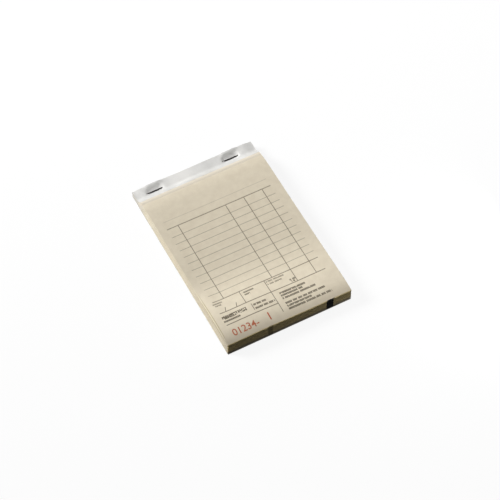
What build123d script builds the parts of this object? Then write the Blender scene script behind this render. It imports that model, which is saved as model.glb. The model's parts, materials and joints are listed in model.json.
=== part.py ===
from build123d import *
import os

# Duplicate receipt book: numbered sets of an original and a copy, stapled through a folded head strip.
# X runs across the writing, Y from the free edge to the bound head, Z up from the surface it lies on.

# Pad
pad_width = 90.0
pad_length = 140.0
block_height = 10.0

# Sheets: each set is one original on top of one copy, and the free sets are the uppermost ones
set_count = 25
free_set_count = 5
leaf_thickness = 0.06
clamped_gap = 0.015
perforation_gap = 0.1
side_drift = 0.35
edge_setback = 0.3

# Head, measured from the outer face of the bound edge
clamp_depth = 6.8
neck_run = 8.0
flat_before_perforation = 0.9
neck_facets = 8

# Backing card
card_thickness = 0.5

# Head strip
strip_thickness = 0.2
strip_top_reach = 12.4
strip_bottom_reach = 11.0
strip_gap = 0.02

# Staples
wire_thickness = 0.5
wire_width = 0.7
wire_bend_radius = 0.3
crown_length = 12.0
clinch_length = 4.0
staple_depth = 6.0
left_staple_inset = 13.9
right_staple_inset = 18.9
hole_clearance = 0.05

# Places along the pad
head_y = pad_length / 2
front_y = -pad_length / 2
sheet_head_y = head_y - strip_thickness - strip_gap
clamp_y = head_y - clamp_depth
spread_y = clamp_y - neck_run
perforation_y = spread_y - flat_before_perforation
staple_y = head_y - staple_depth

# Heights in the clamped head, from the clinched wire up to the strip, and in the swollen block
sheet_count = 2 * set_count
clamped_pitch = leaf_thickness + clamped_gap
block_pitch = (block_height - card_thickness - leaf_thickness) / (sheet_count - 1)
strip_base_z = wire_thickness
tail_top_z = strip_base_z + strip_thickness
card_head_z = tail_top_z + strip_gap
first_stub_z = card_head_z + card_thickness
top_stub_z = first_stub_z + (sheet_count - 1) * clamped_pitch
strip_under_z = top_stub_z + leaf_thickness + strip_gap
strip_top_z = strip_under_z + strip_thickness
crown_top_z = strip_top_z + wire_thickness


def spread(y):
    """Share of its rise that a sheet has made at y: 0 under the clamp, 1 in the block, smooth between."""
    along = (clamp_y - y) / neck_run
    along = min(max(along, 0.0), 1.0)
    return along * along * (3 - 2 * along)


def neck_line(start_y, end_y):
    """Places along Y where a sheet bends between two ends, going from the head forwards."""
    step = neck_run / neck_facets
    bends = [clamp_y - step * k for k in range(neck_facets + 1)]
    return [start_y] + [y for y in bends if start_y > y > end_y] + [end_y]


def sheet_line(start_y, end_y, clamped_z, block_z):
    """Side view of one face of a sheet, as points in Y and Z."""
    return [(y, clamped_z + (block_z - clamped_z) * spread(y)) for y in neck_line(start_y, end_y)]


def raised(line, thickness):
    """The opposite face of a sheet, walked back the other way."""
    return [(y, z + thickness) for y, z in reversed(line)]


def bent_sheet(line, thickness):
    """A sheet across the whole pad, from the side view of its underside."""
    profile = make_face(Polyline(*line, *raised(line, thickness), close=True))
    return extrude(Plane.YZ * profile, amount=pad_width / 2, both=True)


def staple_places():
    """Centres of the left and the right staple across the pad."""
    return [-pad_width / 2 + left_staple_inset, pad_width / 2 - right_staple_inset]


def punched_holes():
    """The four holes that the staple legs make on their way through the head."""
    leg_reach = (crown_length - wire_thickness) / 2
    hole_length = wire_thickness + 2 * hole_clearance
    hole_width = wire_width + 2 * hole_clearance
    centres = [x + side * leg_reach for x in staple_places() for side in (-1, 1)]
    punch = Box(hole_length, hole_width, 2 * crown_top_z)
    return [Pos(x, staple_y, 0) * punch for x in centres]


def staple(centre_x):
    """Flat wire: crown on the strip, legs through the head, ends clinched inwards underneath."""
    outer = crown_length / 2
    inner = outer - wire_thickness
    tip = outer - clinch_length
    right_half = [
        (0, crown_top_z),
        (outer, crown_top_z),
        (outer, 0),
        (tip, 0),
        (tip, wire_thickness),
        (inner, wire_thickness),
        (inner, strip_top_z),
        (0, strip_top_z),
    ]
    half = make_face(Polyline(*right_half, close=True))
    bends = half.vertices().group_by(Axis.X)[-1]
    half = fillet(bends, wire_bend_radius)
    wire = half + mirror(half, about=Plane.YZ)
    return Pos(centre_x, staple_y, 0) * extrude(Plane.XZ * wire, amount=wire_width / 2, both=True)


def backing_card():
    """Card under the sheets, lifted at the head by the strip and the clinched wire below it."""
    return bent_sheet(sheet_line(sheet_head_y, front_y, card_head_z, 0), card_thickness) - leg_holes


def head_strip():
    """Coated paper folded over the head: its lip follows the uppermost sheet, its tail the card."""
    inner_y = head_y - strip_thickness
    lip_y = head_y - strip_top_reach
    tail_y = head_y - strip_bottom_reach
    lip_rise = block_height - leaf_thickness - top_stub_z
    tail_drop = card_head_z
    lip_under = sheet_line(inner_y, lip_y, strip_under_z, strip_under_z + lip_rise)
    lip_over = sheet_line(head_y, lip_y, strip_top_z, strip_top_z + lip_rise)
    tail_over = sheet_line(inner_y, tail_y, tail_top_z, tail_top_z - tail_drop)
    tail_under = sheet_line(head_y, tail_y, strip_base_z, strip_base_z - tail_drop)
    outline = [*reversed(lip_under), *tail_over, *reversed(tail_under), *lip_over]
    section = make_face(Polyline(*outline, close=True))
    folds = section.vertices().group_by(Axis.X)[-1]
    section = fillet(folds, strip_thickness)
    return extrude(Plane.YZ * section, amount=pad_width / 2, both=True) - leg_holes


def stub(level):
    """Clamped end of a sheet and the neck that rises to its perforation."""
    clamped_z = first_stub_z + level * clamped_pitch
    block_z = card_thickness + level * block_pitch
    line = sheet_line(sheet_head_y, perforation_y, clamped_z, block_z)
    return bent_sheet(line, leaf_thickness) - leg_holes


def leaf(level, rear_y):
    """Flat leaf in front of the perforation, its free end slipped a little to one side in handling."""
    rank = sheet_count - 1 - level
    drift = side_drift * ((4 * rank + 10) % 11 - 5) / 5
    leaf_front_y = front_y + edge_setback * ((5 * rank) % 7) / 6
    half_width = pad_width / 2
    outline = Polyline(
        (-half_width, rear_y),
        (half_width, rear_y),
        (half_width + drift, leaf_front_y),
        (-half_width + drift, leaf_front_y),
        close=True,
    )
    block_z = card_thickness + level * block_pitch
    return Pos(0, 0, block_z) * extrude(make_face(outline), amount=leaf_thickness)


def whole_sheet(level):
    """A sheet further down the pad, still in one piece from the head to its free edge."""
    return stub(level) + leaf(level, perforation_y)


leg_holes = punched_holes()
nodes = {
    "backing_card": backing_card(),
    "head_strip": head_strip(),
}
for name, place in zip(("left_staple", "right_staple"), staple_places()):
    nodes[name] = staple(place)

# Sets are numbered from the top, sheet levels from the card up
free_stubs = {"original": [], "copy": []}
for set_number in range(1, set_count + 1):
    for kind, order in (("original", 0), ("copy", 1)):
        level = sheet_count - 1 - 2 * (set_number - 1) - order
        leaf_name = f"{kind}_leaf_{set_number:02d}"
        if set_number <= free_set_count:
            nodes[leaf_name] = leaf(level, perforation_y - perforation_gap)
            free_stubs[kind].append(stub(level))
        else:
            nodes[leaf_name] = whole_sheet(level)
for kind, stubs in free_stubs.items():
    nodes[f"{kind}_stubs"] = Compound(children=stubs)

os.makedirs("parts", exist_ok=True)
for name, solid in nodes.items():
    export_step(solid, f"parts/{name}.step")
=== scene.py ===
# %% [markdown]
# Duplicate receipt book
#
# A pocket pad of receipt forms lies flat on a table. Each set is a printed original over a yellow copy.
# The sheets are stapled at the head through a folded strip of white paper, and a card stiffens the back.
# The solids come from CAD. This lesson gives them paper, ink and wire, and bends what is soft.

# %% Frame
import json
import math
from collections import namedtuple

import bmesh
import bpy
from mathutils import Matrix, Vector

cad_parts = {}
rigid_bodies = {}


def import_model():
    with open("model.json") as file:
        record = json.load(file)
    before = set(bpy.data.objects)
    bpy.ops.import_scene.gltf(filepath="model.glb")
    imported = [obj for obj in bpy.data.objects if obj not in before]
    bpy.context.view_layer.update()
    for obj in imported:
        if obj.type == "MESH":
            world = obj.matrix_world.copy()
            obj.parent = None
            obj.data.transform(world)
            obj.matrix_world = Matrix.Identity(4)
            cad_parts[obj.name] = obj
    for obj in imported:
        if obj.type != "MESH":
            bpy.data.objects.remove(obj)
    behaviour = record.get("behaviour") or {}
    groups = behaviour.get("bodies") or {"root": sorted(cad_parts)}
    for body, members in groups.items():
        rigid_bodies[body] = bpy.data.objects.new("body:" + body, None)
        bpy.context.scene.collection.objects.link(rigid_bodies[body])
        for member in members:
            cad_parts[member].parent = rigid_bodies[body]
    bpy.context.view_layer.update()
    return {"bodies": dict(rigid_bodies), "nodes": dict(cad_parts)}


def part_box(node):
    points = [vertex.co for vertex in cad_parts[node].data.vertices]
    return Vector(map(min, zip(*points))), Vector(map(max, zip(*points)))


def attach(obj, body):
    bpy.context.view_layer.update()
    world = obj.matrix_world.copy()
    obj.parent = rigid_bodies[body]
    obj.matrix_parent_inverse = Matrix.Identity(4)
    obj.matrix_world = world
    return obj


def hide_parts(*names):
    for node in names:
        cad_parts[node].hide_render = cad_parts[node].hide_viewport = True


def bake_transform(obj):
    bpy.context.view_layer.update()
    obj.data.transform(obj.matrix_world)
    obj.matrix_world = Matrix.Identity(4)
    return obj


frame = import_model()
nodes = frame["nodes"]
MM = 0.001
card_low, card_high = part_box("backing_card")
HALF_WIDTH = card_high.x / MM
FRONT_Y = card_low.y / MM
print("pad:", round(2 * HALF_WIDTH, 2), "mm wide, front edge at y", round(FRONT_Y, 2), "mm")

# %% [markdown]
# The camera stands in front of the pad, to the left of it and well above. A long lens keeps the sides of the
# pad almost parallel. The angles, the aim and the distance were found by fitting a pinhole camera to the
# corners of the pad, so the camera needs no shift: it looks a little past the middle of the pad.

# %% Camera
IMAGE_SIDE = 500
SENSOR_WIDTH = 36.0
FOCAL_PIXELS = 2000
VIEW_AZIMUTH = -27.29
VIEW_ELEVATION = 56.31
VIEW_ROLL = -0.6
VIEW_DISTANCE = 1.3231
VIEW_AIM = Vector((0.00422, -0.00665, 0.00235))

camera_data = bpy.data.cameras.new("camera")
camera_data.sensor_width = SENSOR_WIDTH
camera_data.lens = FOCAL_PIXELS / IMAGE_SIDE * SENSOR_WIDTH
camera = bpy.data.objects.new("camera", camera_data)
bpy.context.scene.collection.objects.link(camera)
turn = Matrix.Rotation(math.radians(VIEW_AZIMUTH), 4, "Z")
tilt = Matrix.Rotation(math.radians(90 - VIEW_ELEVATION), 4, "X")
roll = Matrix.Rotation(math.radians(VIEW_ROLL), 4, "Z")
aimed = Matrix.Translation(VIEW_AIM) @ turn @ tilt @ roll
camera.matrix_world = aimed @ Matrix.Translation((0, 0, VIEW_DISTANCE))
bpy.context.scene.camera = camera
camera_place = [round(v, 3) for v in camera.matrix_world.translation]
print("camera:", camera_place, "m, lens", round(camera_data.lens, 1), "mm")

# %% [markdown]
# Every finish below is worked out by shader nodes. Adding nodes one by one hides the sums that they do, so
# one small class wraps a socket: arithmetic on it adds Math nodes, and one method adds a node of any other
# kind. A mask is a value from 0 to 1. Two masks are joined by the larger of them, and overlap by their
# product.

# %% Shader maths
class Shade:
    """A socket in a node tree. Arithmetic on it adds Math nodes, and node() adds any other node."""

    def __init__(self, tree, socket=None):
        self.tree = tree
        self.socket = socket

    def node(self, kind, settings, sockets, out=0):
        """Adds a node, sets it up, fills its sockets with values or links, and returns one of its outputs."""
        made = self.tree.nodes.new(kind)
        for name, value in settings.items():
            setattr(made, name, value)
        for key, value in sockets.items():
            if isinstance(value, Shade):
                self.tree.links.new(value.socket, made.inputs[key])
            else:
                made.inputs[key].default_value = value
        return Shade(self.tree, made.outputs[out])

    def feed(self, node, key):
        """Links this socket to a socket of a node that is already there."""
        self.tree.links.new(self.socket, node.inputs[key])

    def maths(self, operation, *values):
        """Adds a Math node."""
        return self.node("ShaderNodeMath", {"operation": operation}, dict(enumerate(values)))

    def __add__(self, other):
        return self.maths("ADD", self, other)

    def __radd__(self, other):
        return self.maths("ADD", other, self)

    def __sub__(self, other):
        return self.maths("SUBTRACT", self, other)

    def __rsub__(self, other):
        return self.maths("SUBTRACT", other, self)

    def __mul__(self, other):
        return self.maths("MULTIPLY", self, other)

    def __rmul__(self, other):
        return self.maths("MULTIPLY", other, self)

    def __truediv__(self, other):
        return self.maths("DIVIDE", self, other)

    def __rtruediv__(self, other):
        return self.maths("DIVIDE", other, self)

    def __gt__(self, other):
        return self.maths("GREATER_THAN", self, other)

    def __lt__(self, other):
        return self.maths("LESS_THAN", self, other)

    def __or__(self, other):
        return self.maths("MAXIMUM", self, other)

    def within(self, low, high):
        """Mask of what lies between two values."""
        return self.maths("COMPARE", self, (low + high) / 2, (high - low) / 2)

    def band(self, middle, width):
        """Mask of a band of some width around a middle."""
        return self.within(middle - width / 2, middle + width / 2)

    def steps(self, size):
        """Number of the step that the value is on, counting from zero."""
        return self.maths("FLOOR", self / size)

    def phase(self, size):
        """Place within a repeat, from 0 to 1."""
        return self.maths("FRACT", self / size)


print("shader maths ready")

# %% [markdown]
# A few helpers say in one word what the finishes need again and again: a colour as it looks on a screen, a
# blend of two colours, a mask that grows smoothly between two values, and noise. Noise stands for all that
# paper, card and wire do by chance. Stretching the place that it is worked out from draws it out into fibres.

# %% Colours and patterns
MIX_FACTOR, MIX_FIRST, MIX_SECOND, MIX_RESULT = 0, 6, 7, 2
CLOUD_DETAIL = 4.0
GRAIN_DETAIL = 3.0
NOISE_ROUGHNESS = 0.6


def colour(red, green, blue):
    """Linear colour of a screen colour from 0 to 255."""
    parts = [value / 255 for value in (red, green, blue)]
    linear = [p / 12.92 if p <= 0.04045 else ((p + 0.055) / 1.055) ** 2.4 for p in parts]
    return (*linear, 1.0)


def blend_colours(factor, first, second):
    """Colour that goes from the first to the second as the factor goes from 0 to 1."""
    sockets = {MIX_FACTOR: factor, MIX_FIRST: first, MIX_SECOND: second}
    return factor.node("ShaderNodeMix", {"data_type": "RGBA"}, sockets, MIX_RESULT)


def joined(masks):
    """The larger of several masks at each place."""
    whole = masks[0]
    for mask in masks[1:]:
        whole = whole | mask
    return whole


def ease(value, low, high):
    """Mask that grows smoothly from 0 at low to 1 at high."""
    settings = {"interpolation_type": "SMOOTHSTEP"}
    return value.node("ShaderNodeMapRange", settings, {"Value": value, "From Min": low, "From Max": high})


def noise(place, scale, detail=GRAIN_DETAIL, roughness=NOISE_ROUGHNESS):
    """Noise around 0.5, with so many grains or clouds to each unit of the place."""
    sockets = {"Vector": place, "Scale": scale, "Detail": detail, "Roughness": roughness}
    return place.node("ShaderNodeTexNoise", {}, sockets)


def part_of(vector, axis):
    """One part of a vector."""
    return vector.node("ShaderNodeSeparateXYZ", {}, {0: vector}, axis)


def stretched(place, shares):
    """The place times a share for each axis. A small share draws a pattern out along its axis."""
    return place.node("ShaderNodeVectorMath", {"operation": "MULTIPLY"}, {0: place, 1: shares})


def in_millimetres(place):
    """A place in metres, made millimetres."""
    return place.node("ShaderNodeVectorMath", {"operation": "SCALE"}, {0: place, "Scale": 1 / MM})


def place_on_object(start):
    """Object coordinates, in metres."""
    return start.node("ShaderNodeTexCoord", {}, {}, "Object")


def add_bump(shader, relief, strength, depth):
    """Roughens a shader by a relief of some depth in millimetres."""
    sockets = {"Strength": strength, "Distance": depth * MM, "Height": relief}
    relief.node("ShaderNodeBump", {}, sockets).feed(shader, "Normal")


def new_finish(name):
    """A material with its Principled shader, and the start of its maths."""
    material = bpy.data.materials.new(name)
    material.use_nodes = True
    return material, material.node_tree.nodes["Principled BSDF"], Shade(material.node_tree)


print("helpers ready, middle grey is", round(colour(128, 128, 128)[0], 3), "in linear light")

# %% [markdown]
# The floor is white to the camera and to reflections, and only a tenth of it shows the shadow of the pad. For
# the light that bounces it is a plain grey, as a table under the pad would be, so the shaded front stays
# dark. The world does the same: white where it is looked at, and a weak even fill where it lights the paper.

# %% Floor and world
FLOOR_HALF = 6.0
FLOOR_DROP = 0.00004
SHADOW_SHARE = 0.1
FILL_STRENGTH = 0.14
WHITE_STRENGTH = 1.0
WHITE = (1.0, 1.0, 1.0, 1.0)
BOUNCE_GREY = colour(118, 113, 104)
SEEING_RAYS = ("Camera", "Glossy", "Transmission")


def looked_at(start):
    """Mask of the rays that see the background: from the camera, by reflection and through glass."""
    return joined([start.node("ShaderNodeLightPath", {}, {}, f"Is {ray} Ray") for ray in SEEING_RAYS])


floor_mesh = bpy.data.meshes.new("floor")
floor_form = bmesh.new()
bmesh.ops.create_grid(floor_form, x_segments=1, y_segments=1, size=FLOOR_HALF)
bmesh.ops.translate(floor_form, vec=(0, 0, -FLOOR_DROP), verts=floor_form.verts)
floor_form.to_mesh(floor_mesh)
floor_form.free()
floor = bpy.data.objects.new("floor", floor_mesh)
bpy.context.scene.collection.objects.link(floor)

floor_finish = bpy.data.materials.new("floor_finish")
floor_finish.use_nodes = True
floor_start = Shade(floor_finish.node_tree)
floor_output = floor_finish.node_tree.nodes["Material Output"]
table = floor_start.node("ShaderNodeBsdfDiffuse", {}, {"Color": BOUNCE_GREY})
shadow_catcher = floor_start.node("ShaderNodeBsdfDiffuse", {}, {"Color": WHITE})
plain_white = floor_start.node("ShaderNodeEmission", {}, {"Color": WHITE, "Strength": WHITE_STRENGTH})
sweep = floor_start.node("ShaderNodeMixShader", {}, {0: SHADOW_SHARE, 1: plain_white, 2: shadow_catcher})
floor_look = floor_start.node("ShaderNodeMixShader", {}, {0: looked_at(floor_start), 1: table, 2: sweep})
floor_look.feed(floor_output, "Surface")
floor_mesh.materials.append(floor_finish)

world = bpy.data.worlds.new("studio")
bpy.context.scene.world = world
world.use_nodes = True
world_start = Shade(world.node_tree)
fill = world_start.node("ShaderNodeBackground", {}, {"Color": WHITE, "Strength": FILL_STRENGTH})
backdrop = world_start.node("ShaderNodeBackground", {}, {"Color": WHITE, "Strength": WHITE_STRENGTH})
studio = world_start.node("ShaderNodeMixShader", {}, {0: looked_at(world_start), 1: fill, 2: backdrop})
studio.feed(world.node_tree.nodes["World Output"], "Surface")
bpy.context.scene.view_settings.view_transform = "Standard"
print("floor and world: white to the camera, fill", FILL_STRENGTH)

# %% [markdown]
# One large soft lamp stands to the left and behind the head. It is aimed past the pad, so the sheets lie off
# the middle of its beam, where the light falls away softly. It grazes them: gentle bends show, the left edges
# and the lip of the strip are lit, and the front edges stay in shade.
#
# A second, narrow lamp hangs high over the head and is aimed at the front of the pad, where its light is held
# to a soft pool, as by a grid. The third stands for a white card, low down at the right front. It lifts the
# right end of the front edges out of the dark.

# %% Lamps
KEY_DIRECTION = Vector((-0.63, 0.55, 0.55)).normalized()
KEY_DISTANCE = 3.0
KEY_SIZE = (1.2, 1.2)
KEY_POWER = 16.8
KEY_SPREAD = 50.0
KEY_AIM = Vector((0.25, 0.55, 0.0))

POOL_DIRECTION = Vector((0.0, 0.21, 0.97)).normalized()
POOL_DISTANCE = 1.0
POOL_SIZE = (0.12, 0.01)
POOL_POWER = 0.0034
POOL_SPREAD = 4.0
POOL_AIM = Vector((-0.012, -0.043, 0.01))

CARD_DIRECTION = Vector((0.16, -0.105, 0.012)).normalized()
CARD_DISTANCE = 0.19
CARD_SIZE = (0.06, 0.02)
CARD_POWER = 0.19
CARD_SPREAD = 180.0
CARD_AIM = Vector((0.0, -0.07, 0.005))


def soft_lamp(name, direction, distance, size, power, aim, spread):
    """Soft lamp of some width and depth that looks at its aim, with its light held to a cone in degrees."""
    data = bpy.data.lights.new(name, "AREA")
    data.shape = "RECTANGLE"
    data.size, data.size_y = size
    data.energy = power
    data.spread = math.radians(spread)
    lamp = bpy.data.objects.new(name, data)
    bpy.context.scene.collection.objects.link(lamp)
    lamp.location = direction * distance
    lamp.rotation_euler = (lamp.location - aim).to_track_quat("Z", "Y").to_euler()


soft_lamp("key_lamp", KEY_DIRECTION, KEY_DISTANCE, KEY_SIZE, KEY_POWER, KEY_AIM, KEY_SPREAD)
soft_lamp("pool_lamp", POOL_DIRECTION, POOL_DISTANCE, POOL_SIZE, POOL_POWER, POOL_AIM, POOL_SPREAD)
soft_lamp("card_lamp", CARD_DIRECTION, CARD_DISTANCE, CARD_SIZE, CARD_POWER, CARD_AIM, CARD_SPREAD)
print("lamps: key of", KEY_POWER, "W, pool of", POOL_POWER, "W, card of", CARD_POWER, "W")

# %% [markdown]
# The form is printed in one dark ink: a table of columns and rows, with boxes under it. It could be an image,
# but a mask worked out from the place on the sheet stays sharp at any size. Places are millimetres from the
# front left corner. Each rule is a band, and the rows of the table repeat one band at an even pitch.

# %% Ruled lines
TABLE_LEFT = 5.4
TABLE_RIGHT = 82.95
TABLE_TOP = 97.95
TABLE_FOOT = 32.5
ROW_COUNT = 10
ROW_PITCH = 5.83
ROW_STRENGTH = 0.6
BOX_FOOT = 22.4
MIDDLE_RULE = 42.85
FINE_RULE = 0.42
BOX_RULE = 0.62
HEAVY_RULE = 0.7
UPRIGHT_RULE = 0.5
UPRIGHT_STRENGTH = 0.85
DATE_STROKES = (9.9, 17.85)
DATE_STROKE_RULE = 0.48
DATE_STROKE_RUN = (BOX_FOOT + 0.4, BOX_FOOT + 3.4)
DATE_SLOPE = 0.35

# Each upright rule: its place across, its foot and its top
UPRIGHT_RULES = [
    (13.55, TABLE_FOOT, TABLE_TOP),
    (48.85, TABLE_FOOT, TABLE_TOP),
    (62.5, BOX_FOOT, TABLE_TOP),
    (76.35, BOX_FOOT, TABLE_TOP),
    (24.6, BOX_FOOT, TABLE_FOOT),
    (MIDDLE_RULE, 5.6, TABLE_FOOT),
    (27.0, 14.9, 20.3),
]
# Each level rule: its place along the sheet, its left and right end, its weight and its strength
LEVEL_RULES = [
    (TABLE_FOOT, TABLE_LEFT, TABLE_RIGHT, BOX_RULE, 0.8),
    (TABLE_TOP, TABLE_LEFT, TABLE_RIGHT, HEAVY_RULE, 0.72),
    (104.1, TABLE_LEFT, TABLE_RIGHT, FINE_RULE, 0.28),
    (BOX_FOOT, TABLE_LEFT, TABLE_RIGHT, BOX_RULE, 0.85),
    (12.7, TABLE_LEFT, MIDDLE_RULE, BOX_RULE, 0.9),
]


def ruled_lines(across, along):
    """Ink of the table, of the boxes under it and of the two slanted strokes in the date box."""
    rows_top = TABLE_FOOT + ROW_COUNT * ROW_PITCH + FINE_RULE
    in_table = across.within(TABLE_LEFT, TABLE_RIGHT) * along.within(TABLE_FOOT, rows_top)
    row_edge = (along - (TABLE_FOOT - FINE_RULE / 2)).phase(ROW_PITCH) < FINE_RULE / ROW_PITCH
    ink = in_table * row_edge * ROW_STRENGTH
    for place, foot, top in UPRIGHT_RULES:
        ink = ink | across.band(place, UPRIGHT_RULE) * along.within(foot, top) * UPRIGHT_STRENGTH
    for place, left, right, weight, strength in LEVEL_RULES:
        ink = ink | along.band(place, weight) * across.within(left, right) * strength
    slanted = across - (along - BOX_FOOT) * DATE_SLOPE
    for place in DATE_STROKES:
        ink = ink | slanted.band(place, DATE_STROKE_RULE) * along.within(*DATE_STROKE_RUN)
    return ink


print("form:", len(UPRIGHT_RULES), "upright rules,", len(LEVEL_RULES), "level rules,", ROW_COUNT, "rows")

# %% [markdown]
# The fine print and the heading are bars broken into strokes, which is how such print looks from a step away,
# and they spell nothing. A line of fine print is cut into letters at an even pitch and into words by chance.
# The heading is taller. It is cut into uneven upright strokes, and by chance small patches of it are filled
# or left out.

# %% Fine print and heading
# Each line of fine print: its place along the sheet, its left and right end, its height and its strength
FINE_PRINT = [
    (30.5, 4.4, 11.1, 1.15, 0.7),
    (28.7, 5.4, 9.8, 1.15, 0.7),
    (30.4, 25.8, 34.1, 1.2, 0.9),
    (28.4, 25.8, 30.6, 1.2, 0.9),
    (30.9, 43.6, 56.5, 1.15, 0.75),
    (28.7, 43.6, 54.0, 1.15, 0.75),
    (25.4, 58.0, 62.2, 1.35, 1.0),
    (23.8, 58.7, 61.2, 1.35, 1.0),
    (18.7, 27.85, 37.85, 1.5, 1.0),
    (15.7, 27.85, 42.1, 1.5, 1.0),
    (19.0, 47.05, 65.85, 1.5, 1.0),
    (16.9, 47.05, 62.9, 1.5, 1.0),
    (14.6, 47.05, 71.15, 1.5, 1.0),
    (10.6, 47.05, 75.85, 1.5, 1.0),
    (8.3, 47.05, 64.95, 1.5, 1.0),
    (6.0, 47.05, 78.75, 1.5, 1.0),
    (15.5, 5.1, 16.9, 1.35, 1.0),
]
LINE_PITCH = 1.35
LETTER_PITCH = 0.82
LETTER_SHARE = 0.86
WORD_PITCH = 3.7
WORD_GAP = 0.2
JOINED_WORDS = 0.5
HEADING_RUN = (5.1, 22.6)
HEADING_FOOT = 17.0
HEADING_TOP = 19.7
STROKE_PITCH = 1.28
STROKE_SHARE = 0.5
STROKE_VARIATION = 0.3
CAP_PITCH = 2.2
CAP_HEIGHT = 0.62
LEFT_OUT = 0.25
FILLED = 0.6


def chance_at(across_step, along_step):
    """Random value from 0 to 1 for each pair of steps."""
    pair = across_step.node("ShaderNodeCombineXYZ", {}, {0: across_step, 1: along_step})
    return across_step.node("ShaderNodeTexWhiteNoise", {"noise_dimensions": "2D"}, {"Vector": pair})


def fine_print(across, along):
    """Ink of the fine print: lines of letters with a gap after some of the words."""
    lines = []
    for place, left, right, tall, strength in FINE_PRINT:
        lines.append(along.band(place, tall) * across.within(left, right) * strength)
    chance = chance_at(across.steps(WORD_PITCH), along.steps(LINE_PITCH))
    letters = (across + chance * WORD_PITCH).phase(LETTER_PITCH) < LETTER_SHARE
    gaps = (across.phase(WORD_PITCH) < WORD_GAP) * (chance > JOINED_WORDS)
    return joined(lines) * (letters * (1 - gaps))


def heading_print(across, along):
    """Ink of the heading: a bar broken into heavy strokes."""
    steps = across.steps(STROKE_PITCH)
    chance = across.node("ShaderNodeTexWhiteNoise", {"noise_dimensions": "1D"}, {"W": steps})
    strokes = across.phase(STROKE_PITCH) < chance * STROKE_VARIATION + STROKE_SHARE
    caps = chance_at(across.steps(CAP_PITCH), (along - HEADING_FOOT).steps(CAP_HEIGHT))
    broken = strokes * (caps > LEFT_OUT) | (caps > FILLED)
    return across.within(*HEADING_RUN) * along.within(HEADING_FOOT, HEADING_TOP) * broken


def form_ink(across, along):
    """How much dark ink lies at a place on the sheet, in millimetres from its front left corner."""
    return ruled_lines(across, along) | fine_print(across, along) | heading_print(across, along)


heading_height = round(HEADING_TOP - HEADING_FOOT, 1)
print("fine print:", len(FINE_PRINT), "lines, and a heading", heading_height, "mm high")

# %% [markdown]
# The form has to stay on its sheet when a leaf turns. The leaves that turn are bent meshes, so they carry
# their own map of the sheet, and their faces are marked as printed side, front edge or side edge. The sheets
# that stay still read the same things from Object coordinates and from the way their faces look.

# %% Spots on a sheet
SHEET_MAP = "sheet"
PRINTED_SIDE = "printed_side"
FRONT_EDGE = "front_edge"
SIDE_EDGE = "side_edge"
FACING = 0.5
BLOCK_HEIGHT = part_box("original_leaf_01")[1].z / MM
Spot = namedtuple("Spot", "place across along height printed front sides")


def spot_on_leaf(start):
    """Spot on a leaf that turns. Wherever it is turned, it counts as lying on top of the block."""
    place = start.node("ShaderNodeUVMap", {"uv_map": SHEET_MAP}, {})
    height = start.maths("ADD", BLOCK_HEIGHT, 0.0)
    marks = []
    for mark in (PRINTED_SIDE, FRONT_EDGE, SIDE_EDGE):
        marks.append(start.node("ShaderNodeAttribute", {"attribute_name": mark}, {}, "Fac"))
    return Spot(place, part_of(place, "X"), part_of(place, "Y"), height, *marks)


def spot_on_still_sheet(start):
    """Spot on a sheet that stays still."""
    corner = (-HALF_WIDTH, FRONT_Y, 0)
    in_mm = in_millimetres(place_on_object(start))
    place = start.node("ShaderNodeVectorMath", {"operation": "SUBTRACT"}, {0: in_mm, 1: corner})
    facing = start.node("ShaderNodeTexCoord", {}, {}, "Normal")
    printed = part_of(facing, "Z") > FACING
    front = part_of(facing, "Y") < -FACING
    facing_x = part_of(facing, "X")
    sides = facing_x * facing_x > FACING ** 2
    return Spot(place, part_of(place, "X"), part_of(place, "Y"), part_of(place, "Z"), printed, front, sides)


print("spots: block is", round(BLOCK_HEIGHT, 2), "mm high")

# %% [markdown]
# Both papers are thin uncoated writing paper. Light shows soft clouds in them a few millimetres across, and
# the surface has fine fibres that lie along the sheet. The original is cream and the copy is pale yellow.
#
# Over the paper, light and shade are painted. The front margin is darkened as painted shade of its droop, and
# the front edges are painted brown as shade, darker still towards the table. The side edges are painted paler
# as light, up to the head, where they turn grey. The stubs behind the perforation are darkened a little as
# painted shade. On the uppermost originals a dark line along the left edge is painted shade of the gap under
# its curl. Each of these is a mask that blends in its own colour.

# %% Bare paper
CREAM_LIGHT = colour(219, 209, 188)
CREAM_DARK = colour(211, 200, 179)
YELLOW_LIGHT = colour(227, 219, 199)
YELLOW_DARK = colour(219, 210, 187)
CLOUDS_PER_MM = 0.2
CLOUD_SHARE = 0.75
FIBRES_PER_MM = 4.5
FIBRE_STRETCH = (1.0, 0.4, 1.0)
TONE_RANGE = (0.3, 0.7)

# Painted shade: the front margin is darkened near the front edge, where it droops.
MARGIN_SHADE = colour(150, 138, 118)
MARGIN_SHADE_RUN = (0.0, 12.0)
MARGIN_SHADE_SHARE = 0.33
# Painted shade: the front edges are coloured brown, darker still near the table.
FRONT_SHADE = colour(166, 146, 70)
LOW_FRONT_SHADE = colour(56, 46, 20)
FRONT_SHADE_DEPTH = 0.45
FRONT_SHADE_SHARE = 0.6
LOW_SHADE_RUN = (1.0, 4.5)
# Painted shade: the stubs behind the perforation are darkened a little.
STUB_SHADE = colour(220, 211, 196)
STUB_SHADE_RUN = (123.0, 125.0)
STUB_SHADE_SHARE = 0.7
# Painted light: the side edges are coloured paler, as where light falls on them.
SIDE_LIGHT = colour(246, 241, 226)
SIDE_LIGHT_SHARE = 0.85
# The side edges turn grey towards the head.
HEAD_GREY = colour(186, 186, 183)
HEAD_GREY_RUN = (118.0, 133.0)
# Painted shade: a dark line along the left edge, for the gap under the curled leaf.
LEFT_LINE_SHADE = colour(150, 131, 66)
LEFT_LINE_SHADE_WIDTH = 0.45
LEFT_LINE_SHADE_FRONT = (3.0, 8.0)
LEFT_LINE_SHADE_BACK = (30.0, 48.0)
LEFT_LINE_SHADE_SHARE = 0.55


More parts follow.
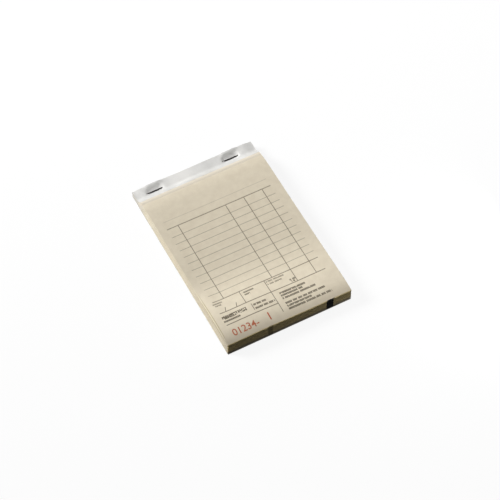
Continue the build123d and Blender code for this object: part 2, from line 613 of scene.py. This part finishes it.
def bare_paper(spot, light, dark, line_shade_share):
    """Colour of the paper before it is printed, with its clouds and its fibres, and with painted shade and
    painted light on its margins and edges.
    """
    clouds = noise(spot.place, CLOUDS_PER_MM, CLOUD_DETAIL)
    fibres = noise(stretched(spot.place, FIBRE_STRETCH), FIBRES_PER_MM)
    tone = ease(clouds * CLOUD_SHARE + fibres * (1 - CLOUD_SHARE), *TONE_RANGE)
    sheet = blend_colours(tone, dark, light)
    # Painted shade on the front margin.
    sheet = blend_colours((1 - ease(spot.along, *MARGIN_SHADE_RUN)) * MARGIN_SHADE_SHARE, sheet, MARGIN_SHADE)
    # Painted shade on the front edges and along the front rim, darker towards the table.
    front_shade = blend_colours(ease(spot.height, *LOW_SHADE_RUN), LOW_FRONT_SHADE, FRONT_SHADE)
    sheet = blend_colours((spot.front | (spot.along < FRONT_SHADE_DEPTH)) * FRONT_SHADE_SHARE, sheet, front_shade)
    # Painted shade on the stubs.
    sheet = blend_colours(ease(spot.along, *STUB_SHADE_RUN) * STUB_SHADE_SHARE, sheet, STUB_SHADE)
    # Painted light on the side edges, grey towards the head.
    side_light = blend_colours(ease(spot.along, *HEAD_GREY_RUN), SIDE_LIGHT, HEAD_GREY)
    sheet = blend_colours(spot.sides * SIDE_LIGHT_SHARE, sheet, side_light)
    # Painted shade along the left edge of the uppermost originals.
    if line_shade_share:
        line_shade = (spot.across < LEFT_LINE_SHADE_WIDTH) * ease(spot.along, *LEFT_LINE_SHADE_FRONT)
        line_shade = line_shade * (1 - ease(spot.along, *LEFT_LINE_SHADE_BACK))
        sheet = blend_colours(line_shade * line_shade_share, sheet, LEFT_LINE_SHADE)
    return sheet, clouds, fibres


print("bare paper:", CLOUDS_PER_MM, "clouds and", FIBRES_PER_MM, "fibres to a millimetre")

# %% [markdown]
# A black mark is printed over the front edges of all sheets, so that a missing sheet shows as a gap in it. A
# fainter mark with soft ends stands further left. At the perforation a row of fine cuts is painted dark, as
# the shade in the slits, so it is just visible.

# %% Edge marks and perforation
MARK_INK_AND_CUT_SHADE = colour(3, 3, 3)
BLACK_MARK = (72.0, 77.1)
FAINT_MARK_LEFT = (28.6, 29.8)
FAINT_MARK_RIGHT = (31.9, 33.3)
FAINT_MARK_STRENGTH = 0.5
MARK_DEPTH = 0.5
PERFORATION_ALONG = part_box("original_leaf_01")[1].y / MM - FRONT_Y
PERFORATION_WIDTH = 0.4
CUT_PITCH = 1.5
CUT_SHARE = 0.66
# Painted shade: the cuts of the perforation are darkened a little.
CUT_SHADE_STRENGTH = 0.04


def edge_marks(spot):
    """Black print over the front edges, and painted shade in the cuts of the perforation."""
    faint = ease(spot.across, *FAINT_MARK_LEFT) * (1 - ease(spot.across, *FAINT_MARK_RIGHT))
    marks = spot.across.within(*BLACK_MARK) | faint * FAINT_MARK_STRENGTH
    edge = spot.front | (spot.along < MARK_DEPTH)
    # Painted shade in the cuts of the perforation.
    cuts = spot.along.band(PERFORATION_ALONG, PERFORATION_WIDTH)
    cuts = cuts * (spot.across.phase(CUT_PITCH) < CUT_SHARE) * CUT_SHADE_STRENGTH
    return edge * marks | cuts


print("perforation:", round(PERFORATION_ALONG, 2), "mm behind the front edge")

# %% [markdown]
# Ink takes to uncoated paper unevenly: it is thinner in the hollows between fibres. It is a little smoother
# than the paper, and a trace of it shows through on the back. Fibres and clouds also give a slight relief.
# There are four finishes, because originals and copies differ in colour, and leaves and still sheets find
# their spots in different ways.

# %% Paper finishes
INK = colour(64, 55, 38)
INK_COVER = 0.86
THIN_INK = 0.75
THIN_INK_FIBRES = (0.25, 0.5)
GHOST_INK = 0.07
PAPER_ROUGHNESS = 0.86
INK_SMOOTHING = 0.18
FIBRE_SMOOTHING = 0.08
FIBRE_RELIEF = 0.7
PAPER_BUMP = 0.25
PAPER_GRAIN = 0.02
PAPER_SPECULAR = 0.15


def paper_finish(name, find_spot, light, dark, line_shade_share=0.0):
    """Uncoated writing paper with the printed form on its upper side."""
    material, shader, start = new_finish(name)
    spot = find_spot(start)
    sheet, clouds, fibres = bare_paper(spot, light, dark, line_shade_share)
    uneven = ease(fibres, *THIN_INK_FIBRES) * (1 - THIN_INK) + THIN_INK
    side_share = spot.printed * (1 - GHOST_INK) + GHOST_INK
    ink = form_ink(spot.across, spot.along) * side_share * uneven * INK_COVER * (1 - spot.front)
    inked = blend_colours(ink, sheet, INK)
    blend_colours(edge_marks(spot), inked, MARK_INK_AND_CUT_SHADE).feed(shader, "Base Color")
    (PAPER_ROUGHNESS - ink * INK_SMOOTHING - fibres * FIBRE_SMOOTHING).feed(shader, "Roughness")
    relief = fibres * FIBRE_RELIEF + clouds * (1 - FIBRE_RELIEF)
    add_bump(shader, relief, PAPER_BUMP, PAPER_GRAIN)
    shader.inputs["Specular IOR Level"].default_value = PAPER_SPECULAR
    return material


leaf_papers = {
    "original": paper_finish("original_leaf_paper", spot_on_leaf, CREAM_LIGHT, CREAM_DARK, LEFT_LINE_SHADE_SHARE),
    "copy": paper_finish("copy_leaf_paper", spot_on_leaf, YELLOW_LIGHT, YELLOW_DARK),
}
still_papers = {
    "original": paper_finish("original_sheet_paper", spot_on_still_sheet, CREAM_LIGHT, CREAM_DARK),
    "copy": paper_finish("copy_sheet_paper", spot_on_still_sheet, YELLOW_LIGHT, YELLOW_DARK),
}
print("paper finishes:", len(leaf_papers["original"].node_tree.nodes), "nodes on an original leaf")

# %% [markdown]
# The lower sheets and the clamped stubs keep their CAD shape, because thin flat paper is already right there.
# They only take the paper finish.

# %% Still sheets and stubs
def wear(node, material):
    """Gives a CAD node a finish in its own material slots."""
    data = nodes[node].data
    data.materials.clear()
    data.materials.append(material)


free_leaves = [name for name in frame["bodies"] if name in nodes]
still_count = 0
for name in nodes:
    kind = name.split("_")[0]
    if kind in still_papers and name not in free_leaves:
        wear(name, still_papers[kind])
        still_count += 1
print("still sheets and stubs:", still_count, "nodes, free leaves:", len(free_leaves))

# %% [markdown]
# The upper sets are free to turn and have been lifted many times, so they don't lie quite flat. The sheaf
# rises in front of the perforation and settles again further on. Its front third stands up in a crest, most
# of all at the left, and droops at the front edge. The left edge curls up, with a shallow ridge beside the
# curl, and the uppermost leaf is pressed down along its front edge.
#
# A cloth simulation would give such bends by chance. Paper this short keeps one shape, so the height is a sum
# of smooth steps in millimetres, each with its own place and reach, and each can be set by itself.

# %% Shape of the lifted sheaf
SWELL = 1.0
LEFT_SWELL = 0.4
LEFT_SWELL_FROM = 10.0
LEFT_SWELL_RUN = 35.0
HINGE_RUN = 9.0
SETTLE = 0.2
SETTLE_FROM = 12.0
SETTLE_RUN = 30.0
CREST_RIGHT = 0.35
CREST_LEFT = 2.15
CREST_EASE_FROM = -25.0
CREST_EASE_RUN = 45.0
CREST_FRONT = 15.0
CREST_BACK = 48.0
DROOP_RIGHT = 0.6
DROOP_LEFT = 1.35
DROOP_RUN = 14.0
CURL = 0.7
CURL_WIDTH = 15.0
CURL_BACK = 88.0
CURL_BACK_RUN = 30.0
CURL_FRONT_RUN = 30.0
RIDGE = 0.45
RIDGE_PLACE = 4.0
RIDGE_WIDTH = 9.0
RIDGE_FRONT = 12.0
RIDGE_BACK = 50.0
RIDGE_RUN = 14.0
DIP = 0.45
LEFT_DIP = 0.6
DIP_RUN = 6.5
FREE_REAR_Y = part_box(free_leaves[0])[1].y / MM


def smooth(value):
    """Smooth step from 0 to 1 as the value goes from 0 to 1."""
    value = min(max(value, 0.0), 1.0)
    return value * value * (3 - 2 * value)


def fall(value):
    """Curve that falls from 1 to 0 as the value goes from 0 to 1, steep at first and flat at its end."""
    return max(1 - value, 0) ** 2


def sheaf_lift(x, y):
    """Height in millimetres that the sheaf stands off the pad at a place in millimetres."""
    from_front = y - FRONT_Y
    from_left = x + HALF_WIDTH
    from_rear = FREE_REAR_Y - y
    leftness = 1 - smooth((x - CREST_EASE_FROM) / CREST_EASE_RUN)
    left_swell = LEFT_SWELL * smooth((-x - LEFT_SWELL_FROM) / LEFT_SWELL_RUN)
    settled = smooth((from_rear - SETTLE_FROM) / SETTLE_RUN)
    rise = (SWELL + left_swell) * (1 - fall(from_rear / HINGE_RUN)) - (SETTLE + left_swell) * settled
    crest_height = CREST_RIGHT + (CREST_LEFT - CREST_RIGHT) * leftness
    crest = crest_height * smooth((CREST_BACK - from_front) / (CREST_BACK - CREST_FRONT))
    droop_depth = DROOP_RIGHT + (DROOP_LEFT - DROOP_RIGHT) * leftness
    droop = droop_depth * fall(from_front / DROOP_RUN)
    along_curl = smooth((CURL_BACK - from_front) / CURL_BACK_RUN) * smooth(from_front / CURL_FRONT_RUN)
    curl = CURL * along_curl * fall(from_left / CURL_WIDTH)
    ridge_rise = smooth((from_front - RIDGE_FRONT) / RIDGE_RUN)
    along_ridge = smooth((RIDGE_BACK - from_front) / RIDGE_RUN) * ridge_rise
    past_ridge = smooth((from_left - RIDGE_PLACE) / RIDGE_WIDTH)
    ridge = RIDGE * along_ridge * smooth(from_left / RIDGE_PLACE) * (1 - past_ridge)
    return rise + crest - droop + curl + ridge


def front_dip(x, y):
    """Depth in millimetres by which the uppermost leaf is pressed down at the front edge."""
    return DIP * (1 + LEFT_DIP * smooth(-x / HALF_WIDTH)) * fall((y - FRONT_Y) / DIP_RUN)


middle_lift = round(sheaf_lift(0, 0), 2)
left_lift = round(sheaf_lift(-HALF_WIDTH, FRONT_Y + CREST_FRONT), 2)
print("sheaf lift in the middle:", middle_lift, "mm, at the left end of the crest:", left_lift, "mm")

# %% [markdown]
# Each free leaf starts as a grid, gets finer rows where it folds at the perforation, takes the thickness of
# the paper by an extrusion, and is then lifted. The lower a leaf lies in the sheaf, the less it is lifted, so
# the sheaf stands open at its edges. The sheet's map and the marked faces are made while the leaf is flat.

# %% Free leaves
LEAF_COLUMNS = 30
LEAF_ROWS = 48
UNIT_GRID = 0.5
FOLD_LENGTH = 2.0
FOLD_CUTS = 8
SEAM_COVER = 0.08
LEAST_LIFT = 0.3
CREASE_ANGLE = math.radians(40)


def new_piece(name, form, material):
    """Object at the origin made from a bmesh, which is then freed."""
    mesh = bpy.data.meshes.new(name)
    form.to_mesh(mesh)
    form.free()
    mesh.materials.append(material)
    piece = bpy.data.objects.new(name, mesh)
    bpy.context.scene.collection.objects.link(piece)
    return piece


def cut_through(form, place, normal):
    """Cuts the faces of a form where a plane goes through it, and keeps both sides."""
    geometry = form.verts[:] + form.edges[:] + form.faces[:]
    bmesh.ops.bisect_plane(form, geom=geometry, plane_co=place, plane_no=normal)


def crease(form):
    """Marks the sharp edges of a form, so that its faces shade apart there."""
    for edge in form.edges:
        edge.smooth = edge.calc_face_angle(0) < CREASE_ANGLE


def leaf_height(x, y, lift_share):
    """Height in millimetres of a leaf over its flat place. The lowest leaf is not pressed down in front."""
    pressed = (lift_share - LEAST_LIFT) / (1 - LEAST_LIFT)
    return sheaf_lift(x, y) * lift_share - front_dip(x, y) * pressed


def mark_faces(form):
    """Gives a flat leaf its map of the sheet, and marks its printed side, front edge and side edges."""
    sheet_map = form.loops.layers.uv.new(SHEET_MAP)
    printed_side = form.faces.layers.float.new(PRINTED_SIDE)
    front_edge = form.faces.layers.float.new(FRONT_EDGE)
    side_edge = form.faces.layers.float.new(SIDE_EDGE)
    for face in form.faces:
        face[printed_side] = float(face.normal.z > FACING)
        face[front_edge] = float(face.normal.y < -FACING)
        face[side_edge] = float(abs(face.normal.x) > FACING)
        face.smooth = True
        for loop in face.loops:
            loop[sheet_map].uv = (loop.vert.co.x / MM + HALF_WIDTH, loop.vert.co.y / MM - FRONT_Y)


def leaf_form(node, lift_share):
    """Bent leaf in the place of a CAD leaf."""
    low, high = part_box(node)
    high.y += SEAM_COVER * MM
    drift = low.x + high.x
    length = high.y - low.y
    middle_y = (low.y + high.y) / 2
    form = bmesh.new()
    bmesh.ops.create_grid(form, x_segments=LEAF_COLUMNS, y_segments=LEAF_ROWS, size=UNIT_GRID)
    bmesh.ops.scale(form, vec=(2 * HALF_WIDTH * MM, length, 1), verts=form.verts)
    bmesh.ops.translate(form, vec=(0, middle_y, low.z), verts=form.verts)
    for cut in range(1, FOLD_CUTS + 1):
        cut_through(form, (0, high.y - FOLD_LENGTH * MM * cut / FOLD_CUTS, 0), (0, 1, 0))
    upper = bmesh.ops.extrude_face_region(form, geom=form.faces[:])
    upper_verts = [item for item in upper["geom"] if isinstance(item, bmesh.types.BMVert)]
    bmesh.ops.translate(form, vec=(0, 0, high.z - low.z), verts=upper_verts)
    bmesh.ops.recalc_face_normals(form, faces=form.faces)
    form.normal_update()
    mark_faces(form)
    for vert in form.verts:
        vert.co.z += leaf_height(vert.co.x / MM, vert.co.y / MM, lift_share) * MM
        vert.co.x += drift * (high.y - vert.co.y) / length
    crease(form)
    return form


leaves = {}
lift_shares = {}
for rank, node in enumerate(free_leaves):
    kind, _, number = node.split("_")
    lift_shares[node] = 1 - (1 - LEAST_LIFT) * rank / (len(free_leaves) - 1)
    leaf = new_piece(f"{kind}_paper_{number}", leaf_form(node, lift_shares[node]), leaf_papers[kind])
    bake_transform(leaf)
    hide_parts(node)
    leaves[node] = leaf
print("free leaves:", len(leaves), "of", len(leaf.data.polygons), "faces")

# %% [markdown]
# Each form carries the number of its pad and of its set, stamped in red by a numbering machine. The ink lies
# thicker in some places than in others. The numerals are made as text, fattened a little as wet ink spreads,
# turned into a thin mesh and laid on the sheet, on each sheet that can come to be seen.

# %% Numbers
PAD_NUMBER = "01234-"
NUMBER_SIZE = 6.9
SET_SIZE = 8.2
NUMBER_NARROWING = 0.98
NUMBER_WEIGHT = 0.06
NUMBER_LEFT = 6.6
NUMBER_FOOT = 3.85
SET_LEFT = 31.5
SET_FOOT = 3.95
CURVE_STEPS = 3
INK_FILM = 0.004
INK_HEIGHT = 0.012
INK_CUT = 0.7
NUMERAL_MERGE = 0.0002
RED_LIGHT = colour(190, 108, 76)
RED_DARK = colour(146, 76, 50)
BLOTCHES_PER_MM = 1.1
BLOTCH_RAGGEDNESS = 0.7
BLOTCH_RANGE = (0.35, 0.65)
STAMP_ROUGHNESS = 0.7
BLOTCH_DULLING = 0.15
FIRST_STILL_ORIGINAL = "original_leaf_06"


def stamp_finish():
    """Red ink that lies thicker in some places than in others."""
    material, shader, start = new_finish("stamped_ink")
    here = place_on_object(start)
    blotches = ease(noise(here, BLOTCHES_PER_MM / MM, roughness=BLOTCH_RAGGEDNESS), *BLOTCH_RANGE)
    blend_colours(blotches, RED_DARK, RED_LIGHT).feed(shader, "Base Color")
    (STAMP_ROUGHNESS + blotches * BLOTCH_DULLING).feed(shader, "Roughness")
    return material


def numerals(words, size, left, foot):
    """Thin flat numerals on the pad, their lower left corner in millimetres from the front left corner."""
    curve = bpy.data.curves.new("numerals", "FONT")
    curve.body = words
    curve.size = size * MM
    curve.extrude = INK_FILM * MM
    curve.offset = NUMBER_WEIGHT * MM
    curve.resolution_u = CURVE_STEPS
    writing = bpy.data.objects.new("numerals", curve)
    bpy.context.scene.collection.objects.link(writing)
    bpy.context.view_layer.update()
    written = writing.evaluated_get(bpy.context.evaluated_depsgraph_get())
    mesh = bpy.data.meshes.new_from_object(written)
    bpy.data.objects.remove(writing)
    corner = Matrix.Translation(((left - HALF_WIDTH) * MM, (foot + FRONT_Y) * MM, 0))
    mesh.transform(corner @ Matrix.Diagonal((NUMBER_NARROWING, 1, 1, 1)))
    return mesh


def stamp_form(set_number, top, lift_share):
    """Both numbers of a form as one thin mesh, cut into short lengths that follow the lift of the sheet."""
    form = bmesh.new()
    for mesh in (
        numerals(PAD_NUMBER, NUMBER_SIZE, NUMBER_LEFT, NUMBER_FOOT),
        numerals(str(set_number), SET_SIZE, SET_LEFT, SET_FOOT),
    ):
        form.from_mesh(mesh)
        bpy.data.meshes.remove(mesh)
    bmesh.ops.remove_doubles(form, verts=form.verts, dist=NUMERAL_MERGE * MM)
    for cut in range(1, int((SET_FOOT + SET_SIZE) / INK_CUT)):
        cut_through(form, (0, (FRONT_Y + cut * INK_CUT) * MM, 0), (0, 1, 0))
    for vert in form.verts:
        height = leaf_height(vert.co.x / MM, vert.co.y / MM, lift_share) if lift_share else 0
        vert.co.z += top + (INK_HEIGHT + height) * MM
    return form


stamp_ink = stamp_finish()
for node in free_leaves + [FIRST_STILL_ORIGINAL]:
    kind, _, number = node.split("_")
    form = stamp_form(int(number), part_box(node)[1].z, lift_shares.get(node, 0))
    stamp = new_piece(f"{kind}_number_{number}", form, stamp_ink)
    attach(stamp, node if node in leaves else "pad")
print("numbers:", len(free_leaves) + 1, "stamps, the last of", len(stamp.data.polygons), "faces")

# %% [markdown]
# The strip is white coated paper, folded over the head before the wire goes in. The crowns pull it down, so
# it is dented around them, a little further to the right than to the left, and it humps up along the fold
# behind them. Elsewhere it stands a little off the sheets, in a slow wave and higher towards the right.
#
# A copy of the CAD strip is merged, cut into a fine net and swelled by a height worked out for each place.
# The dents find the crowns in the frame, so they follow the staples wherever CAD puts them.

# %% Head strip
STRIP_COLUMN = 0.75
STRIP_ROW = 0.6
STRIP_MERGE = 0.001
FLAT_ANGLE = math.radians(1)
STRIP_SWELL = 1.05
LEFT_END_SHARE = 0.3
RIGHT_END_SHARE = 0.6
RIGHT_SWELL = 0.6
END_RUN = 7.0
DENT_REACH = (5.4, 6.6)
DENT_RUN_BACK = 5.2
DENT_RUN_FRONT = 2.8
CROWN_CLEARANCE = 0.35
HUMP = 0.7
HUMP_REACH = (5.0, 7.0)
HUMP_RUN = 5.0
BELL_POWER = 6
WAVE_HEIGHT = 0.12
WAVE_LENGTH = 31.0
LIP_TAPER_RUN = 1.6
LIP_THINNING = 0.14
SPINE_FOOT = 2.6
SPINE_RUN = 2.2
STAPLES = ("left_staple", "right_staple")
strip_low, strip_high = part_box("head_strip")
LIP_Y = strip_low.y / MM
crowns = []
for staple in STAPLES:
    low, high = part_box(staple)
    crowns.append(((low.x + high.x) / 2 / MM, (low.y + high.y) / 2 / MM))


def bell(value, reach):
    """Flat topped hump, 1 in the middle, with its own reach to the left and to the right."""
    left, right = reach
    return math.exp(-((value / (left if value < 0 else right)) ** BELL_POWER))


def strip_swell(x, y):
    """Height in millimetres that the strip stands off the clamped sheets."""
    end_share = RIGHT_END_SHARE if x > 0 else LEFT_END_SHARE
    ends = end_share + (1 - end_share) * smooth((HALF_WIDTH - abs(x)) / END_RUN)
    wave = WAVE_HEIGHT * math.sin(2 * math.pi * x / WAVE_LENGTH)
    swell = STRIP_SWELL + wave + RIGHT_SWELL * smooth(x / HALF_WIDTH)
    free = 1
    for crown_x, crown_y in crowns:
        swell += HUMP * bell(x - crown_x, HUMP_REACH) * smooth((y - crown_y) / HUMP_RUN)
        back = smooth((y - crown_y - CROWN_CLEARANCE) / DENT_RUN_BACK)
        front = smooth((crown_y - CROWN_CLEARANCE - y) / DENT_RUN_FRONT)
        free *= 1 - bell(x - crown_x, DENT_REACH) * (1 - back) * (1 - front)
    lip = smooth((y - LIP_Y) / (crowns[0][1] - LIP_Y))
    return swell * ends * free * lip


def strip_form():
    """The CAD strip, merged, cut into a net and swelled on its upper side."""
    form = bmesh.new()
    form.from_mesh(nodes["head_strip"].data)
    bmesh.ops.remove_doubles(form, verts=form.verts, dist=STRIP_MERGE * MM)
    bmesh.ops.dissolve_limit(form, angle_limit=FLAT_ANGLE, verts=form.verts, edges=form.edges)
    columns = int(2 * HALF_WIDTH / STRIP_COLUMN)
    rows = int((strip_high.y - strip_low.y) / MM / STRIP_ROW)
    for column in range(1, columns):
        cut_through(form, (strip_low.x + (strip_high.x - strip_low.x) * column / columns, 0, 0), (1, 0, 0))
    for row in range(1, rows):
        cut_through(form, (0, strip_low.y + (strip_high.y - strip_low.y) * row / rows, 0), (0, 1, 0))
    form.normal_update()
    for vert in form.verts:
        x, y, z = vert.co / MM
        raised = smooth((z - SPINE_FOOT) / SPINE_RUN)
        thinned = LIP_THINNING * (1 - smooth((y - LIP_Y) / LIP_TAPER_RUN)) * (vert.normal.z > 0)
        vert.co.z += (strip_swell(x, y) * raised - thinned) * MM
    for face in form.faces:
        face.smooth = True
    bmesh.ops.triangulate(form, faces=[face for face in form.faces if len(face.verts) > 4])
    bmesh.ops.recalc_face_normals(form, faces=form.faces)
    form.normal_update()
    crease(form)
    return form


print("crowns at", [round(crown_x, 1) for crown_x, _ in crowns], "mm, lip at y", round(LIP_Y, 2), "mm")

# %% [markdown]
# Coated paper has a satin sheen, and handling leaves grey clouds and fine scuffs in it. Along the fold, left
# of the middle, a lighter patch is painted as light, and in the middle of the lip a darker patch is painted
# as shade. These two soft patches are blended over the cloudy white.

# %% Strip finish
STRIP_LIGHT = colour(217, 216, 213)
STRIP_DARK = colour(206, 205, 202)
STRIP_CLOUDS_PER_MM = 0.16
STRIP_CLOUD_RANGE = (0.35, 0.68)
STRIP_CLOUD_SHARE = 0.8
SCUFFS_PER_MM = 1.6
SCUFF_RANGE = (0.45, 0.7)
# Painted light: a lighter patch along the fold, left of the middle.
STRIP_LIT_PATCH = colour(238, 236, 232)
LIT_PATCH_LEFT = (-26.0, -14.0)
LIT_PATCH_RIGHT = (-8.0, 4.0)
LIT_PATCH_FRONT = (58.5, 62.5)
LIT_PATCH_SHARE = 0.6
# Painted shade: a darker patch in the middle of the lip.
STRIP_SHADE_PATCH = colour(186, 182, 174)
SHADE_PATCH_LEFT = (-12.0, -3.0)
SHADE_PATCH_RIGHT = (8.0, 18.0)
SHADE_PATCH_BACK = (58.5, 62.5)
SHADE_PATCH_SHARE = 0.4
STRIP_ROUGHNESS = 0.47
STRIP_CLOUD_DULLING = 0.12
SCUFF_DULLING = 0.1
DIMPLES_PER_MM = 0.9
DIMPLE_RAGGEDNESS = 0.55
STRIP_BUMP = 0.3
STRIP_GRAIN = 0.05
STRIP_SPECULAR = 0.3


def strip_finish():
    """Coated white paper, satin, with cloudy handling marks, fine scuffs, a painted light patch and a painted
    shade patch.
    """
    material, shader, start = new_finish("coated_strip")
    here = place_on_object(start)
    clouds = ease(noise(here, STRIP_CLOUDS_PER_MM / MM, CLOUD_DETAIL), *STRIP_CLOUD_RANGE)
    scuffs = ease(noise(here, SCUFFS_PER_MM / MM), *SCUFF_RANGE)
    in_mm = in_millimetres(here)
    x = part_of(in_mm, "X")
    y = part_of(in_mm, "Y")
    lit_patch = ease(x, *LIT_PATCH_LEFT) * (1 - ease(x, *LIT_PATCH_RIGHT)) * ease(y, *LIT_PATCH_FRONT)
    # Painted shade: a darker patch in the middle of the lip.
    rubbed = ease(x, *SHADE_PATCH_LEFT) * (1 - ease(x, *SHADE_PATCH_RIGHT)) * (1 - ease(y, *SHADE_PATCH_BACK))
    tone = clouds * STRIP_CLOUD_SHARE + scuffs * (1 - STRIP_CLOUD_SHARE)
    paper = blend_colours(tone, STRIP_LIGHT, STRIP_DARK)
    paper = blend_colours(lit_patch * LIT_PATCH_SHARE, paper, STRIP_LIT_PATCH)
    blend_colours(rubbed * SHADE_PATCH_SHARE, paper, STRIP_SHADE_PATCH).feed(shader, "Base Color")
    (STRIP_ROUGHNESS + clouds * STRIP_CLOUD_DULLING + scuffs * SCUFF_DULLING).feed(shader, "Roughness")
    dimples = noise(here, DIMPLES_PER_MM / MM, roughness=DIMPLE_RAGGEDNESS)
    add_bump(shader, dimples, STRIP_BUMP, STRIP_GRAIN)
    shader.inputs["Specular IOR Level"].default_value = STRIP_SPECULAR
    return material


strip = new_piece("folded_strip", strip_form(), strip_finish())
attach(strip, "pad")
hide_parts("head_strip")
print("head strip:", len(strip.data.polygons), "faces")

# %% [markdown]
# The staples are flat dark wire. Their CAD shape has the bent corners and the clinched ends, so only the
# metal is added: drawn along its length, with brighter scuffs where the crown has been rubbed.

# %% Staples
WIRE_DARK = colour(48, 45, 44)
WIRE_BRIGHT = colour(92, 88, 85)
DRAWN_STRETCH = (0.05, 1.0, 1.0)
STREAKS_PER_MM = 9
STREAK_DETAIL = 2.0
STREAK_RAGGEDNESS = 0.5
STREAK_RANGE = (0.35, 0.7)
STREAK_SHARE = 0.4
STREAK_DULLING = 0.1
RUBS_PER_MM = 0.8
RUB_RANGE = (0.5, 0.75)
RUB_SHARE = 0.5
RUB_POLISH = 0.12
WIRE_ROUGHNESS = 0.46


def wire_finish():
    """Dark drawn steel with streaks along the wire."""
    material, shader, start = new_finish("staple_steel")
    here = place_on_object(start)
    drawn = stretched(here, DRAWN_STRETCH)
    streaks = ease(noise(drawn, STREAKS_PER_MM / MM, STREAK_DETAIL, STREAK_RAGGEDNESS), *STREAK_RANGE)
    rubbed = ease(noise(here, RUBS_PER_MM / MM), *RUB_RANGE)
    bright = streaks * STREAK_SHARE + rubbed * RUB_SHARE
    blend_colours(bright, WIRE_DARK, WIRE_BRIGHT).feed(shader, "Base Color")
    (WIRE_ROUGHNESS - rubbed * RUB_POLISH + streaks * STREAK_DULLING).feed(shader, "Roughness")
    shader.inputs["Metallic"].default_value = 1.0
    return material


staple_steel = wire_finish()
for staple in STAPLES:
    wear(staple, staple_steel)
print("staples: dark drawn wire on", len(STAPLES), "nodes")

# %% [markdown]
# The back is grey board, pressed from waste paper, so it is speckled with darker and lighter fibres. The dark
# fibres lie along the pad and the pale ones across it, which keeps the speckle from looking combed.

# %% Backing card
BOARD_GREY = colour(176, 169, 158)
BOARD_DARK = colour(138, 131, 121)
BOARD_PALE = colour(198, 192, 182)
BOARD_CLOUDS_PER_MM = 0.2
BOARD_CLOUD_RANGE = (0.3, 0.7)
BOARD_CLOUD_SHARE = 0.4
LENGTHWISE = (1.0, 0.3, 1.0)
DARK_FIBRES_PER_MM = 1.8
DARK_FIBRE_RANGE = (0.6, 0.72)
CROSSWISE = (0.3, 1.0, 1.0)
PALE_FIBRES_PER_MM = 1.5
PALE_FIBRE_RANGE = (0.62, 0.74)
PALE_FIBRE_SHARE = 0.7
BOARD_ROUGHNESS = 0.9
BOARD_CLOUD_SMOOTHING = 0.08
PITS_PER_MM = 2.2
BOARD_BUMP = 0.35
BOARD_GRAIN = 0.04


def board_finish():
    """Grey board with clouds, dark fibres and pale fibres."""
    material, shader, start = new_finish("grey_board")
    here = place_on_object(start)
    clouds = ease(noise(here, BOARD_CLOUDS_PER_MM / MM, CLOUD_DETAIL), *BOARD_CLOUD_RANGE)
    dark_fibres = ease(noise(stretched(here, LENGTHWISE), DARK_FIBRES_PER_MM / MM), *DARK_FIBRE_RANGE)
    pale_fibres = ease(noise(stretched(here, CROSSWISE), PALE_FIBRES_PER_MM / MM), *PALE_FIBRE_RANGE)
    dark = clouds * BOARD_CLOUD_SHARE + dark_fibres * (1 - BOARD_CLOUD_SHARE)
    board = blend_colours(dark, BOARD_GREY, BOARD_DARK)
    blend_colours(pale_fibres * PALE_FIBRE_SHARE, board, BOARD_PALE).feed(shader, "Base Color")
    (BOARD_ROUGHNESS - clouds * BOARD_CLOUD_SMOOTHING).feed(shader, "Roughness")
    add_bump(shader, noise(here, PITS_PER_MM / MM), BOARD_BUMP, BOARD_GRAIN)
    return material


wear("backing_card", board_finish())
print("backing card: grey board,", DARK_FIBRES_PER_MM, "dark fibres to a millimetre")
